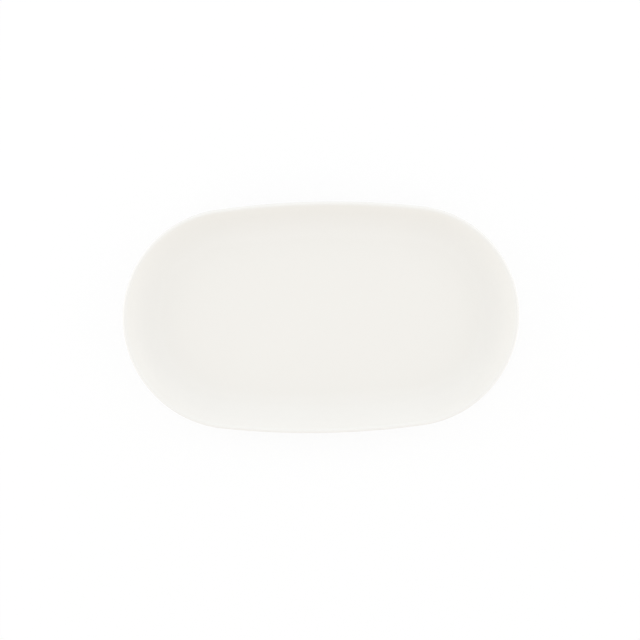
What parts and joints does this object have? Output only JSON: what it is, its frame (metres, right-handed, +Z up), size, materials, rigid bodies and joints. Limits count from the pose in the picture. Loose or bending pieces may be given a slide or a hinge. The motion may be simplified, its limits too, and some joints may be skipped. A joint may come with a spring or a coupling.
{
  "type": "oval plate",
  "caption": "Oval glazed porcelain plate with a flat well, a short upturned wall and a bare foot ring, for serving food and for stacking.",
  "frame": {"origin": "on the table under the middle of the plate, in the plane of the foot ring's bearing face", "axes": "+X along the plate's length, +Y across its width, +Z up out of the well"},
  "size_m": [0.29, 0.17, 0.02],
  "materials": {
    "porcelain": "fired, unglazed and ground smooth at the foot",
    "glaze": "clear glossy glaze over warm white porcelain",
    "base_glaze": "clear glossy glaze over warm white porcelain"
  },
  "bodies": {
    "root": {"porcelain_body": "porcelain", "glaze_coat": "glaze", "base_glaze": "base_glaze"}
  },
  "joints": []
}
